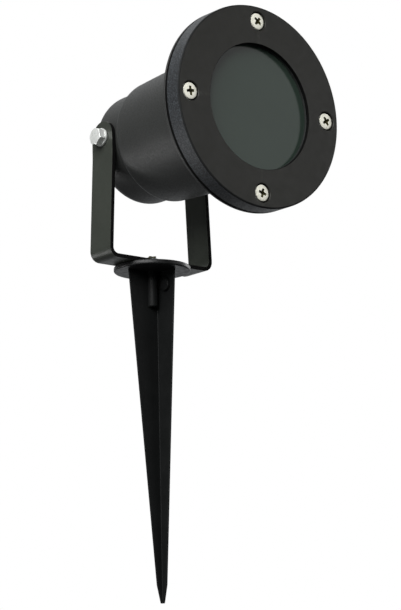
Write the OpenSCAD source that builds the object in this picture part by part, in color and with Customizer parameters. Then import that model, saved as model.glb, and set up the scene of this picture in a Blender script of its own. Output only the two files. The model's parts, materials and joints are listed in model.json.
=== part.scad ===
// Garden spike spotlight: a tapered lamp housing with a round screwed bezel,
// held in a bent strap yoke that swivels on a moulded ground stake.
// Frame: origin at the centre of the stake disc's underside, +Z up,
// the lamp faces -Y, and the tilt pivot runs along X.

/* [Bezel and glass] */
// Outer diameter of the bezel
bezel_d = 100; // [96:0.5:104]
// Depth of the bezel, front to back
bezel_t = 8.8; // [8:0.1:11]
// Diameter of the round window
window_d = 62; // [56:0.5:64]
// Thickness of the bezel's front lip at the window
lip_t = 1.8; // [1.4:0.1:2.4]
// Depth of the seal between the lip and the glass
seal_t = 1.5; // [1:0.1:2]
// Thickness of the front glass
glass_t = 3; // [2.5:0.1:4]
// Pitch circle of the bezel screws
screw_pcd = 85.4; // [84:0.2:88]
// Thickness of the flat body gasket
gasket_t = 1.2; // [0.9:0.1:1.5]

/* [Housing] */
// Thickness of the housing's front flange
flange_t = 1.8; // [1.6:0.1:3]
// Outer radius of the cone just behind the flange
cone_front_r = 34; // [33.5:0.1:35]
// Outer radius of the cone at its rear shoulder
cone_rear_r = 31; // [30.6:0.1:31.4]
// Outer radius of the rear section
rear_r = 28.2; // [27.8:0.1:28.2]
// Distance from the bezel's face to the cone's rear shoulder
shoulder_t = 72; // [70:0.5:73]
// Distance from the bezel's face to the rear end wall
head_l = 107; // [106:0.5:109]
// Wall thickness of the casting
wall = 2.5; // [2.2:0.1:2.8]

/* [Yoke] */
// Width of the strap
strap_w = 16.6; // [15:0.2:17]
// Thickness of the strap
strap_t = 2; // [1.8:0.1:2.2]
// Width across the arms at the base
yoke_w = 64.6; // [64:0.1:66]
// How far each arm leans in between the base and the pivot
arm_lean = 2; // [1.8:0.1:2.2]
// Outer bend radius at the base
bend_r = 5; // [4:0.5:7]
// Height of the tilt pivot above the disc's underside
pivot_z = 65; // [63:0.5:68]
// Distance from the tilt pivot forward to the bezel's face
reach = 85.8; // [84:0.2:87]

/* [Ground stake] */
// Diameter of the disc
disc_d = 38.6; // [37:0.2:42]
// Thickness of the disc
disc_t = 2.5; // [2:0.1:3]
// Length of the blade below the disc
blade_l = 165; // [150:1:180]
// Thickness of each leg of the angle-section blade
blade_t = 2; // [1.8:0.1:2.4]
// Diameter of the round button beside the boss
button_d = 6; // [5:0.1:6.4]

/* [Cable inlet] */
// Diameter of the bore in the gland's seal
cable_bore_d = 7; // [6.4:0.1:7.2]

/* [Hidden] */
$fn = 64;

face_gap = 0.05;            // between flat faces that slide on each other
run_gap = 0.07;             // radial running clearance of a pin in its hole
bezel_r = bezel_d / 2;
window_r = window_d / 2;
glass_r = window_r + 2;
glass_z = lip_t + seal_t;
pocket_r = window_r + 3;    // seat for the seal in the bezel
flange_z = bezel_t + gasket_t;
shoulder_r = 3.2;           // rounding of the cone's rear shoulder
m3_r = 1.5;
m4_r = 2;
m5_r = 2.5;
slip = 0.02;                // radial play drawn in a thread
pivot_x = yoke_w / 2 - arm_lean;      // outer face of an arm at the pivot
lug_x = pivot_x - strap_t - face_gap; // spot face on the housing
lug_r = 8.6;
lug_root_x = 18.5;          // inner end of a pivot lug
lug_root_r = 6.2;
bolt_tip_x = 20.6;          // inner end of a pivot bolt
bolt_washer_t = 1.3;
bolt_head_h = 3.5;
lamp_z = 13;                // lamp rim, behind the bezel's face
lamp_l = 53;                // lamp rim to the end of its base
holder_z = lamp_z + lamp_l + 0.3;
ledge_z = shoulder_t + 2.2; // face of the housing's inner ledge
holder_l = 15;
pin_x = 5;                  // offset of the lamp's pins from the axis
bracket_t = 1.2;
pillar_y = 23.6;            // offset of the bracket screws from the axis
earth_r = 22;               // offset of the earth screw from the axis
end_wall = 3;
screw_boss_r = 4.4;
screw_boss_h = 4.6;
counterbore_r = 4.7;
counterbore_t = 3.1;
gland_r = 6;
gland_tail = 4;             // thread inside the housing's end wall
gland_flats = 15;
gland_hex_t = 2.6;
block_z = 89.5;             // front of the terminal block
block_w = [24, 11, 9];
block_pitch = 8;
lead_r = 1.1;
corner_x = 3.4;             // inner corner line of the blade
corner_y = 0.5;
boss_r = 2.7;
boss_l = 18.2;
boss_floor = 1.6;           // closed end of the boss
stake_screw_r = 1.75;
stake_washer_t = 1;
button_y = -7;              // centre of the button on the blade's leg
button_z = -7.4;
button_t = 1.6;

// Points of an arc about [cx, cy], from angle a0 to a1
function arc(cx, cy, r, a0, a1, n = 6) =
    [for (i = [0:n]) let (a = a0 + (a1 - a0) * i / n) [cx + r * cos(a), cy + r * sin(a)]];

function unit(v) = v / norm(v);

// Direction of a path at point i
function heading(path, i) =
    unit(path[min(i + 1, len(path) - 1)] - path[max(i - 1, 0)]);

// Smooth points along a curve through four control points
function bezier(p, n = 14) =
    [for (i = [0:n]) let (u = i / n, v = 1 - u)
        v * v * v * p[0] + 3 * v * v * u * p[1] + 3 * v * u * u * p[2] + u * u * u * p[3]];

// Round wire of radius r along a path; side is a direction never along it
module wire(path, r, side, sides = 8) {
    rings = [for (i = [0:len(path) - 1])
        let (t = heading(path, i), u = unit(cross(side, t)), v = cross(t, u))
        for (k = [0:sides - 1]) let (a = 360 * k / sides)
            path[i] + r * (cos(a) * u + sin(a) * v)];
    last = (len(path) - 1) * sides;
    skin = [for (i = [0:len(path) - 2], k = [0:sides - 1])
        let (a = i * sides + k, b = i * sides + (k + 1) % sides)
        [a, a + sides, b + sides, b]];
    start_cap = [for (k = [0:sides - 1]) k];
    end_cap = [for (k = [sides - 1:-1:0]) last + k];
    polyhedron(rings, concat(skin, [start_cap, end_cap]));
}

// Places children on the lamp axis: local +Z runs from the bezel's face to the rear,
// and local -Y points up.
module on_lamp_axis() {
    translate([0, -reach, pivot_z]) rotate([-90, 0, 0]) children();
}

module ring(r_out, r_in, z0, z1) {
    translate([0, 0, z0]) difference() {
        cylinder(r = r_out, h = z1 - z0);
        translate([0, 0, -1]) cylinder(r = r_in, h = z1 - z0 + 2);
    }
}

module hex_prism(across_flats, h) {
    cylinder(r = across_flats / sqrt(3), h = h, $fn = 6);
}

// Four places on the bezel's screw circle
module at_bezel_screws() {
    for (a = [0:90:270]) rotate([0, 0, a]) translate([screw_pcd / 2, 0, 0]) children();
}

// Cross recess for a driver, cut down from z = 0
module cross_recess(l, w, depth) {
    for (a = [0, 90]) rotate([0, 0, a])
        translate([-l / 2, -w / 2, -depth]) cube([l, w, depth + 1]);
}

// Mirrors children across the X = 0 plane as well
module both_sides() {
    children();
    mirror([1, 0, 0]) children();
}

// ---------- ground stake ----------

// Outline of a blade leg: reach out from the corner line against height
module blade_leg_outline(out_top, out_low, back) {
    taper_end = blade_l - 9;
    polygon([[back, 1], [-out_top, 1], [-out_top, 0], [-out_low, -taper_end],
        [-0.6, -blade_l + 0.8], [0.2, -blade_l], [back - 1.2, -blade_l + 1.6],
        [back, -taper_end]]);
}

module ground_stake() color("#1b1c1b") {
    leg_x_top = 17.6;
    leg_y_top = 13.8;
    leg_low = 3;
    difference() {
        union() {
            rotate_extrude() polygon(concat([[0, 0]],
                arc(disc_d / 2 - 0.8, 0.8, 0.8, -90, 0, 4),
                arc(disc_d / 2 - 0.8, disc_t - 0.8, 0.8, 0, 90, 4), [[0, disc_t]]));
            translate([corner_x, corner_y + blade_t, 0]) rotate([90, 0, 0])
                linear_extrude(blade_t) blade_leg_outline(leg_x_top, leg_low, blade_t);
            translate([corner_x, corner_y, 0]) rotate([90, 0, 90])
                linear_extrude(blade_t) blade_leg_outline(leg_y_top, leg_low, blade_t);
            translate([0, 0, -boss_l]) cylinder(r = boss_r, h = boss_l + 1);
            translate([corner_x - button_t, button_y, button_z]) rotate([0, 90, 0])
                cylinder(d = button_d, h = button_t + blade_t / 2);
        }
        translate([0, 0, boss_floor - boss_l]) cylinder(r = stake_screw_r + slip, h = boss_l + disc_t + 2);
    }
}

module stake_screw() color("#c9c9c4") {
    head_z = disc_t + strap_t + 2 * face_gap + stake_washer_t;
    shank_l = head_z + boss_l - 2 * boss_floor;
    difference() {
        translate([0, 0, head_z]) rotate_extrude() polygon(concat([[0, 0], [3.5, 0], [3.5, 0.5]],
            arc(2.4, 0.5, 1.1, 0, 90, 4), [[0, 1.6]]));
        translate([0, 0, head_z + 1.6]) cross_recess(3.6, 0.8, 1.1);
    }
    translate([0, 0, head_z - shank_l]) cylinder(r = stake_screw_r, h = shank_l);
}

module stake_washer() color("#b9b9b4")
    translate([0, 0, disc_t + strap_t + 2 * face_gap])
        ring(5, stake_screw_r + 0.2, 0, stake_washer_t);

// ---------- yoke ----------

// One face of the strap from the base's bend to the arm's top, seen along Y;
// d is how far it lies inside the outer face.
function strap_face(d) =
    let (base_z = disc_t + face_gap, kink_z = pivot_z - 12,
        cx = yoke_w / 2 - bend_r, cz = base_z + bend_r,
        lean = atan(arm_lean / (kink_z - cz)))
    concat(arc(cx, cz, bend_r - d, -90, lean, 10),
        [[pivot_x - d, kink_z], [pivot_x - d, pivot_z + strap_w]]);

function reversed(list) = [for (i = [len(list) - 1:-1:0]) list[i]];

function mirrored(list) = [for (p = list) [-p[0], p[1]]];

module yoke() color("#3f413d") {
    outer = strap_face(0);
    inner = strap_face(strap_t);
    difference() {
        intersection() {
            translate([0, strap_w / 2, 0]) rotate([90, 0, 0]) linear_extrude(strap_w)
                polygon(concat(outer, reversed(inner), mirrored(inner), reversed(mirrored(outer))));
            translate([-yoke_w, 0, 0]) rotate([90, 0, 90]) linear_extrude(2 * yoke_w) union() {
                translate([-strap_w / 2, 0]) square([strap_w, pivot_z]);
                translate([0, pivot_z]) circle(d = strap_w);
            }
        }
        cylinder(r = stake_screw_r + run_gap, h = pivot_z / 2);
        translate([-yoke_w, 0, pivot_z]) rotate([0, 90, 0])
            cylinder(r = m5_r + run_gap, h = 2 * yoke_w);
    }
}

// ---------- head: housing, bezel and seals ----------

// Outer profile of the casting as [radius, depth], from the flange to the axis
function housing_outside() = concat(
    [[0, flange_z], [bezel_r - 0.4, flange_z], [bezel_r, flange_z + 0.4],
        [bezel_r, flange_z + flange_t - 0.5], [bezel_r - 0.5, flange_z + flange_t]],
    arc(cone_front_r + 2.6, flange_z + flange_t + 2.5, 2.5, -90, -180, 4),
    arc(cone_rear_r - shoulder_r, shoulder_t - 0.2, shoulder_r, 0, 75, 6),
    [[rear_r, shoulder_t + 4.4]],
    arc(rear_r - 7, head_l - 16.5, 7, 0, 52, 6),
    arc(16.5, head_l - 2.2, 2.2, 50, 90, 4),
    [[0, head_l]]);

// Cavity of the casting
module housing_inside() {
    rotate_extrude() polygon(concat(
        [[0, flange_z - 1], [cone_front_r - wall, flange_z - 1],
            [cone_rear_r - wall, ledge_z - 3], [cone_rear_r - wall, ledge_z],
            [rear_r - wall, ledge_z]],
        arc(rear_r - 7 - wall, head_l - 17.5, 7, 0, 52, 6),
        [[16, head_l - end_wall], [0, head_l - end_wall]]));
}

module housing() color("#2b2c2a") on_lamp_axis() {
    difference() {
        union() {
            difference() {
                union() {
                    rotate_extrude() polygon(housing_outside());
                    translate([0, 0, reach]) both_sides() rotate([0, 90, 0])
                        cylinder(r = lug_r, h = lug_x);
                }
                housing_inside();
            }
            // screw bosses behind the flange
            at_bezel_screws() translate([0, 0, flange_z]) cylinder(r = screw_boss_r, h = screw_boss_h);
            // pivot lugs inside, for the depth of the bolt thread
            translate([0, 0, reach]) both_sides() rotate([0, 90, 0])
                translate([0, 0, lug_root_x]) cylinder(r = lug_root_r, h = lug_x - lug_root_x);
            // pillars for the lampholder bracket
            for (s = [-1, 1]) translate([0, s * pillar_y, ledge_z]) cylinder(r = 3, h = 11);
            // pillar for the earth screw, rooted in the curve of the rear wall
            rotate([0, 0, 45]) translate([0, earth_r, ledge_z + 4]) cylinder(r = 3.6, h = 16);
        }
        at_bezel_screws() translate([0, 0, flange_z - 1]) cylinder(r = m4_r + slip, h = 8);
        translate([0, 0, reach]) both_sides() rotate([0, 90, 0])
            translate([0, 0, bolt_tip_x - 0.8]) cylinder(r = m5_r + slip, h = 20);
        for (s = [-1, 1]) translate([0, s * pillar_y, ledge_z - 1]) cylinder(r = m3_r + slip, h = 9);
        rotate([0, 0, 45]) translate([0, earth_r, ledge_z + 3]) cylinder(r = m3_r + slip, h = 8);
        translate([0, 0, head_l - end_wall - 1]) cylinder(r = gland_r + face_gap, h = end_wall + 2);
    }
}

module body_gasket() color("#0c0c0c") on_lamp_axis() difference() {
    ring(bezel_r - 0.5, window_r - 0.6, bezel_t, flange_z);
    at_bezel_screws() translate([0, 0, bezel_t - 1]) cylinder(r = m4_r + 0.25, h = 4);
}

module bezel() color("#2e2e2c") on_lamp_axis() difference() {
    rotate_extrude() polygon(concat(
        arc(window_r + 0.7, 0.7, 0.7, 180, 270, 4),
        arc(bezel_r - 1.3, 1.3, 1.3, -90, 0, 6),
        [[bezel_r, bezel_t - 0.4], [bezel_r - 0.4, bezel_t],
            [pocket_r, bezel_t], [pocket_r, lip_t], [window_r, lip_t]]));
    at_bezel_screws() {
        translate([0, 0, -1]) cylinder(r = counterbore_r, h = counterbore_t + 1);
        cylinder(r = m4_r + 0.25, h = bezel_t + 1);
    }
}

module bezel_screws() color("#d5d4cb") on_lamp_axis() at_bezel_screws() {
    difference() {
        rotate_extrude() polygon(concat([[0, counterbore_t], [4, counterbore_t], [4, 1.9]],
            arc(2.5, 1.9, 1.5, 0, -75, 5), [[0, 0.2]]));
        translate([0, 0, 0.2]) mirror([0, 0, 1]) cross_recess(4.2, 1, 1.8);
    }
    translate([0, 0, counterbore_t]) cylinder(r = m4_r, h = 10.6);
}

// Seal of channel section that wraps the glass's rim
module glass_gasket() color("#4a4d4a") on_lamp_axis() rotate_extrude()
    polygon([[window_r, lip_t], [pocket_r - 0.1, lip_t], [pocket_r - 0.1, bezel_t],
        [window_r, bezel_t], [window_r, glass_z + glass_t], [glass_r, glass_z + glass_t],
        [glass_r, glass_z], [window_r, glass_z]]);

module front_glass() color("#42484666") on_lamp_axis()
    translate([0, 0, glass_z]) cylinder(r = glass_r, h = glass_t);

// ---------- tilt pivots ----------

module pivot_bolts() color("#cfd0cd") translate([0, 0, pivot_z]) both_sides() rotate([0, 90, 0]) {
    seat = pivot_x + face_gap + bolt_washer_t;
    translate([0, 0, bolt_tip_x]) cylinder(r = m5_r, h = seat - bolt_tip_x);
    translate([0, 0, seat]) intersection() {
        hex_prism(8, bolt_head_h);
        rotate_extrude() polygon([[0, 0], [4.7, 0], [4.7, bolt_head_h - 0.7],
            [3.6, bolt_head_h], [0, bolt_head_h]]);
    }
}

module pivot_spring_washers() color("#b4b5b2")
    translate([0, 0, pivot_z]) both_sides() rotate([0, 90, 0]) difference() {
        ring(4.6, m5_r + 0.15, pivot_x + face_gap, pivot_x + face_gap + bolt_washer_t);
        translate([0, 4, pivot_x + face_gap + bolt_washer_t / 2]) rotate([0, 25, 0])
            cube([0.8, 6, 4], center = true);
    }

// ---------- lamp ----------

module lamp_reflector() color("#d9dad8") on_lamp_axis() rotate_extrude() polygon(concat(
    [[23.2, lamp_z + 1], [25, lamp_z], [25, lamp_z + 3]],
    [for (u = [0:8]) [24.4 - 12.4 * pow(u / 8, 1.6), lamp_z + 4 + 27 * u / 8]],
    [[12, lamp_z + 34], [10.8, lamp_z + 34]],
    [for (u = [8:-1:0]) [23.2 - 12.4 * pow(u / 8, 1.6), lamp_z + 4 + 27 * u / 8]]));

module lamp_cover_glass() color("#e8eeee88") on_lamp_axis()
    translate([0, 0, lamp_z + 1.1]) cylinder(r = 23, h = 1.6);

module lamp_capsule() color("#eef2f2aa") on_lamp_axis() rotate_extrude()
    polygon(concat([[0, lamp_z + 12]], arc(0, lamp_z + 16.5, 4.5, -80, 0, 5),
        [[4.5, lamp_z + 30], [3, lamp_z + 34], [0, lamp_z + 34]]));

module lamp_base() color("#e7e5dc") on_lamp_axis() difference() {
    rotate_extrude() polygon([[0, lamp_z + 34.2], [12, lamp_z + 34.2], [12, lamp_z + 40],
        [9.6, lamp_z + 42], [9.2, lamp_z + lamp_l], [0, lamp_z + lamp_l]]);
    for (s = [-1, 1]) translate([s * pin_x, 0, lamp_z + lamp_l - 4]) cylinder(r = 1.6, h = 6);
}

module lamp_pins() color("#c2a878") on_lamp_axis() for (s = [-1, 1])
    translate([s * pin_x, 0, lamp_z + lamp_l - 4]) {
        cylinder(r = 1.6, h = 6.4);
        translate([0, 0, 6.4]) cylinder(r = 2.5, h = 2);
    }

// ---------- lampholder and wiring ----------

module lampholder() color("#ece9df") on_lamp_axis() difference() {
    union() {
        translate([0, 0, holder_z]) cylinder(r = 14, h = ledge_z - bracket_t - holder_z);
        translate([0, 0, holder_z]) cylinder(r = 10, h = holder_l);
    }
    for (s = [-1, 1]) translate([s * pin_x, 0, holder_z - 1]) cylinder(r = 2.8, h = 8.4);
    for (s = [-1, 1]) translate([s * pin_x, 0, holder_z + 7]) cylinder(r = 1.3, h = 9);
}

module holder_contacts() color("#b98f4f") on_lamp_axis() for (s = [-1, 1])
    translate([s * pin_x, 0, holder_z + 5.4]) cylinder(r = 2.6, h = 1.8);

module holder_bracket() color("#a9aba8") on_lamp_axis()
    translate([0, 0, ledge_z - bracket_t]) difference() {
        union() {
            translate([-8, -27, 0]) cube([16, 54, bracket_t]);
            cylinder(r = 15.5, h = bracket_t);
        }
        translate([0, 0, -1]) cylinder(r = 10.15, h = bracket_t + 2);
        for (s = [-1, 1]) translate([0, s * pillar_y, -1]) cylinder(r = m3_r + 0.2, h = bracket_t + 2);
    }

module pan_screw(head_r, head_h, r, l) {
    difference() {
        translate([0, 0, -head_h]) cylinder(r = head_r, h = head_h);
        translate([0, 0, -head_h]) mirror([0, 0, 1]) cross_recess(head_r, 0.7, 1);
    }
    cylinder(r = r, h = l);
}

module bracket_screws() color("#c8c9c6") on_lamp_axis() for (s = [-1, 1])
    translate([0, s * pillar_y, ledge_z - bracket_t]) pan_screw(2.8, 1.8, m3_r, 7.5);

module terminal_block() color("#e9e9e2") on_lamp_axis()
    translate([-block_w[0] / 2, -block_w[1] / 2, block_z]) difference() {
        cube(block_w);
        for (i = [0:2]) {
            translate([4 + block_pitch * i, block_w[1] / 2, -1]) cylinder(r = 1.5, h = block_w[2] + 2);
            translate([4 + block_pitch * i, -1, block_w[2] / 2]) rotate([-90, 0, 0])
                cylinder(r = 1.7, h = 4);
        }
    }

module terminal_screws() color("#c9b37c") on_lamp_axis() for (i = [-1:1])
    translate([block_pitch * i, -block_w[1] / 2 + 0.6, block_z + block_w[2] / 2]) rotate([-90, 0, 0])
        difference() {
            cylinder(r = 1.65, h = 2.2);
            translate([-2, -0.25, -0.1]) cube([4, 0.5, 0.8]);
        }

// A lead from the lampholder's rear to the terminal block, in lamp coordinates
module lamp_lead(s) {
    start_z = holder_z + holder_l;
    end_x = s * block_pitch;
    wire(bezier([[s * pin_x, 0, start_z - 2], [s * 6, 0, start_z + 6],
        [end_x, -9, block_z - 5], [end_x, 0, block_z + 2]]), lead_r, [1, 0, 0]);
}

module live_lead() color("#7a4a2c") on_lamp_axis() lamp_lead(1);

module neutral_lead() color("#3d6fa8") on_lamp_axis() lamp_lead(-1);

module earth_lead() color("#8fae3a") on_lamp_axis() {
    tag = [-earth_r * sin(45), earth_r * cos(45), ledge_z + 3];
    wire(bezier([tag + [3.6, -3.6, 0.5], tag + [7, -7, 7],
        [0, 4, block_z - 3.5], [0, 0, block_z + 2]]), lead_r, [1, 0, 0]);
    translate(tag) difference() {
        union() {
            cylinder(r = 3.2, h = 1);
            rotate([0, 0, -45]) translate([0, -1.2, 0]) cube([5.4, 2.4, 1]);
        }
        translate([0, 0, -1]) cylinder(r = m3_r + 0.1, h = 3);
    }
}

module earth_screw() color("#c8c9c6") on_lamp_axis() rotate([0, 0, 45])
    translate([0, earth_r, ledge_z + 3]) pan_screw(2.6, 1.8, m3_r, 6.5);

// ---------- cable gland ----------

module gland_body() color("#161716") on_lamp_axis() difference() {
    union() {
        translate([0, 0, head_l - end_wall - gland_tail])
            cylinder(r = gland_r, h = end_wall + gland_tail + 0.1);
        translate([0, 0, head_l]) hex_prism(gland_flats, gland_hex_t);
        translate([0, 0, head_l + gland_hex_t - 0.1]) cylinder(r = gland_r - 0.1, h = 7.5);
    }
    translate([0, 0, head_l - 10]) cylinder(r = 4, h = 30);
    translate([0, 0, head_l + 3.4]) cylinder(r = 5.1, h = 8);
}

module gland_locknut() color("#161716") on_lamp_axis()
    translate([0, 0, head_l - end_wall - 3]) difference() {
        hex_prism(gland_flats, 2.9);
        translate([0, 0, -1]) cylinder(r = gland_r + slip, h = 5);
    }

module gland_seal() color("#0f0f0f") on_lamp_axis()
    ring(5.05, cable_bore_d / 2, head_l + 3.5, head_l + 10.4);

module gland_nut() color("#1a1b1a") on_lamp_axis() difference() {
    rotate_extrude() polygon(concat([[0, head_l + 2.8], [7.2, head_l + 2.8]],
        arc(5.4, head_l + 10.6, 1.8, 0, 90, 5), [[0, head_l + 12.4]]));
    translate([0, 0, head_l + 2]) cylinder(r = gland_r - 0.05, h = 8.5);
    translate([0, 0, head_l]) cylinder(r = cable_bore_d / 2 + 0.4, h = 20);
    for (a = [0:30:330]) rotate([0, 0, a]) translate([7.5, 0, head_l + 2])
        cylinder(r = 0.6, h = 8);
}

ground_stake();
stake_screw();
stake_washer();
yoke();
housing();
body_gasket();
bezel();
bezel_screws();
glass_gasket();
front_glass();
pivot_bolts();
pivot_spring_washers();
lamp_reflector();
lamp_cover_glass();
lamp_capsule();
lamp_base();
lamp_pins();
lampholder();
holder_contacts();
holder_bracket();
bracket_screws();
terminal_block();
terminal_screws();
live_lead();
neutral_lead();
earth_lead();
earth_screw();
gland_body();
gland_locknut();
gland_seal();
gland_nut();
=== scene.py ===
"""Looks for the garden spike spotlight: turned, bent and moulded pieces built round the CAD frame,
procedural materials for every piece, and a plain pale studio."""
import json
import math

import bmesh
import bpy
from mathutils import Matrix, Vector


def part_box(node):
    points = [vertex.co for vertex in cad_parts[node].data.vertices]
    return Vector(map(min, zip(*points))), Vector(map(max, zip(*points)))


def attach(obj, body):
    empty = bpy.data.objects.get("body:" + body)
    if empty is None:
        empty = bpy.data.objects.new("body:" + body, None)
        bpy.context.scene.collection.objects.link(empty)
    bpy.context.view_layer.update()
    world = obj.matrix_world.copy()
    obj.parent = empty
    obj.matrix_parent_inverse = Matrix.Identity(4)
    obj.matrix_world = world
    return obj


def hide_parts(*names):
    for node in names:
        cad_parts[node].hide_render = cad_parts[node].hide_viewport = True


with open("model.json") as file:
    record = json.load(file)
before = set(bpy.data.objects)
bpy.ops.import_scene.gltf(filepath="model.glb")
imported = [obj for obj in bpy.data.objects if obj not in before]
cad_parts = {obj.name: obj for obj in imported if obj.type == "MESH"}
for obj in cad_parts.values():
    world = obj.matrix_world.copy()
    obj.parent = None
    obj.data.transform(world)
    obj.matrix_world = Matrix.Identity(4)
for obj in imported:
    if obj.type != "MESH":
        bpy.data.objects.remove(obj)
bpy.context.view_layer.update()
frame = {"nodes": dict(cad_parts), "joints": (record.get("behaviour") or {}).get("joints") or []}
nodes = frame["nodes"]

MM = 0.001
SHARP = math.radians(32)


# ---------------------------------------------------------------- sizes, in mm, from the frame

def box_mm(node):
    """Lowest and highest corner of a CAD node, in millimetres."""
    low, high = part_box(node)
    return low / MM, high / MM


def joint_mm(name):
    """Where a joint's axis passes, in millimetres."""
    for joint in frame["joints"]:
        if joint["name"] == name:
            return Vector(joint["pos_m"]) / MM
    raise ValueError(name)


bezel_low, bezel_high = box_mm("bezel")
pivot = joint_mm("head_tilt")
FRONT_Y = bezel_low.y
BEZEL_R = (bezel_high.x - bezel_low.x) / 2
BEZEL_T = bezel_high.y - bezel_low.y
GASKET_T = box_mm("body_gasket")[1].y - bezel_high.y
FLANGE_Z = BEZEL_T + GASKET_T
FLANGE_T = 1.8
REBATE = 0.4           # depth of the flange's edge rebate that shows the gasket
GLASS_R = box_mm("front_glass")[1].x
GLASS_Z = box_mm("front_glass")[0].y - FRONT_Y
GLASS_T = box_mm("front_glass")[1].y - FRONT_Y - GLASS_Z
LIP_T = box_mm("glass_gasket")[0].y - FRONT_Y
SEAL_R = box_mm("glass_gasket")[1].x
WINDOW_R = 31.0
FACE_ROUND = 0.7       # radius of the bezel's front edge
REAR_CHAMFER = 0.12
COUNTERBORE_R = 4.7
COUNTERBORE_T = 3.1
M4_HOLE_R = 2.25
BEZEL_SCREW_R = 4.0    # head of a bezel screw
SCREW_CIRCLE_R = box_mm("bezel_screws")[1].x - BEZEL_SCREW_R
HEAD_L = box_mm("housing")[1].y - FRONT_Y
CONE_FRONT_R = 34.0
CONE_REAR_R = 31.0
REAR_R = 28.2
SHOULDER_T = 72.0
SHOULDER_R = 3.2
REAR_ROUND = 7.0       # radius of the curve into the rear end
WALL = 2.5
END_WALL = 3.0
LUG_R = 7.2
LUG_ROOT_R = 6.2
SCREW_BOSS_R = 4.4
SCREW_BOSS_H = 4.6

yoke_low, yoke_high = box_mm("yoke")
STRAP_W = yoke_high.y - yoke_low.y
STRAP_T = 2.0
YOKE_HALF_W = yoke_high.x
ARM_LEAN = 2.0
BEND_R = 5.0
PIVOT_X = YOKE_HALF_W - ARM_LEAN
KINK_BELOW_PIVOT = 12.0
PIVOT_HOLE_R = 2.57
ACROSS_FLATS = 8.0     # the pivot bolts' heads
BOLT_R = 2.5

stake_low, stake_high = box_mm("ground_stake")
DISC_R = stake_high.x
DISC_T = stake_high.z
BLADE_L = -stake_low.z
BLADE_T = 2.0
EDGE_T = 1.0
THINNING = 0.3         # what the blade loses in thickness down to the point
POINT_L = 9.0          # the last stretch, which closes to the tip
LONG_LEG = 17.6        # widths of the two legs under the disc
SHORT_LEG = 13.8
POINT_LEG = 3.0        # width of both legs where the point starts
TIP_LEG = 0.7
TIP_T = 0.9
CORNER = Vector((3.4, 0.5))
BOSS_R = 2.7
BOSS_L = 18.2
BOSS_FLOOR = 1.6

# Frames of reference, from millimetres to the row frame in metres
WORLD = Matrix.Scale(MM, 4)
# local +Z runs back along the lamp axis from the bezel's face, local -Y points up
LAMP = WORLD @ Matrix.Translation((0, FRONT_Y, pivot.z)) @ Matrix.Rotation(math.radians(-90), 4, "X")


def pivot_side(side):
    """Local +Z runs outward along the tilt axis on that side (+1 or -1)."""
    turn = Matrix.Rotation(math.radians(90 * side), 4, "Y")
    return WORLD @ Matrix.Translation(pivot) @ turn


# ---------------------------------------------------------------- mesh tools

def arc(cx, cy, r, start, end, steps=6):
    """Points of an arc, angles in degrees."""
    turns = [math.radians(start + (end - start) * i / steps) for i in range(steps + 1)]
    return [(cx + r * math.cos(a), cy + r * math.sin(a)) for a in turns]


def new_piece(name, mesh_data, place, material):
    """A mesh object from a bmesh made in millimetres."""
    bmesh.ops.remove_doubles(mesh_data, verts=mesh_data.verts, dist=1e-4)
    bmesh.ops.recalc_face_normals(mesh_data, faces=mesh_data.faces)
    mesh = bpy.data.meshes.new(name)
    mesh_data.to_mesh(mesh)
    mesh_data.free()
    mesh.transform(place)
    piece = bpy.data.objects.new(name, mesh)
    bpy.context.scene.collection.objects.link(piece)
    if material:
        mesh.materials.append(material)
    return piece


def lathe(name, profile, place, material=None, steps=144):
    """A turned solid from a closed outline of (radius, depth) points."""
    bm = bmesh.new()
    rings = []
    for r, z in profile:
        if r < 1e-6:
            rings.append([bm.verts.new((0, 0, z))] * steps)
        else:
            angles = [2 * math.pi * k / steps for k in range(steps)]
            rings.append([bm.verts.new((r * math.cos(a), r * math.sin(a), z)) for a in angles])
    for i, ring in enumerate(rings):
        after = rings[(i + 1) % len(rings)]
        if ring[0] is ring[1] and after[0] is after[1]:
            continue
        for k in range(steps):
            corners = [ring[k], ring[(k + 1) % steps], after[(k + 1) % steps], after[k]]
            bm.faces.new(list(dict.fromkeys(corners)))
    return new_piece(name, bm, place, material)


def prism(name, outline, low, high, place, material=None):
    """A straight solid on a closed outline of (x, y) points, from z = low to high."""
    bm = bmesh.new()
    floor = [bm.verts.new((x, y, low)) for x, y in outline]
    roof = [bm.verts.new((x, y, high)) for x, y in outline]
    bm.faces.new(floor)
    bm.faces.new(roof)
    for k in range(len(outline)):
        j = (k + 1) % len(outline)
        bm.faces.new([floor[k], floor[j], roof[j], roof[k]])
    return new_piece(name, bm, place, material)


def settle(piece):
    """Applies the modifiers of a piece to its mesh."""
    graph = bpy.context.evaluated_depsgraph_get()
    mesh = bpy.data.meshes.new_from_object(piece.evaluated_get(graph))
    piece.modifiers.clear()
    piece.data = mesh


def combine(piece, tool, operation="DIFFERENCE"):
    """Cuts the tool from the piece, or joins it on, and removes the tool."""
    step = piece.modifiers.new("combine", "BOOLEAN")
    step.operation = operation
    step.solver = "EXACT"
    step.material_mode = "TRANSFER"
    step.object = tool
    settle(piece)
    bpy.data.objects.remove(tool)


def round_edges(piece, width, steps=3, angle=40):
    """Rounds a piece's sharp edges by width in millimetres."""
    step = piece.modifiers.new("round", "BEVEL")
    step.width = width * MM
    step.segments = steps
    step.limit_method = "ANGLE"
    step.angle_limit = math.radians(angle)
    step.harden_normals = False
    step.use_clamp_overlap = True
    settle(piece)


def shade(piece, angle=SHARP):
    """Smooth shading that keeps the sharp edges."""
    for face in piece.data.polygons:
        face.use_smooth = True
    piece.data.set_sharp_from_angle(angle=angle)
    step = piece.modifiers.new("weights", "WEIGHTED_NORMAL")
    step.keep_sharp = True
    settle(piece)


def place_on(piece, body, slot, *replaced):
    """The piece rides on a body and stands for CAD nodes, which it hides; slot is not used."""
    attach(piece, body)
    if replaced:
        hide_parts(*replaced)
    return piece


# ---------------------------------------------------------------- materials

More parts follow.
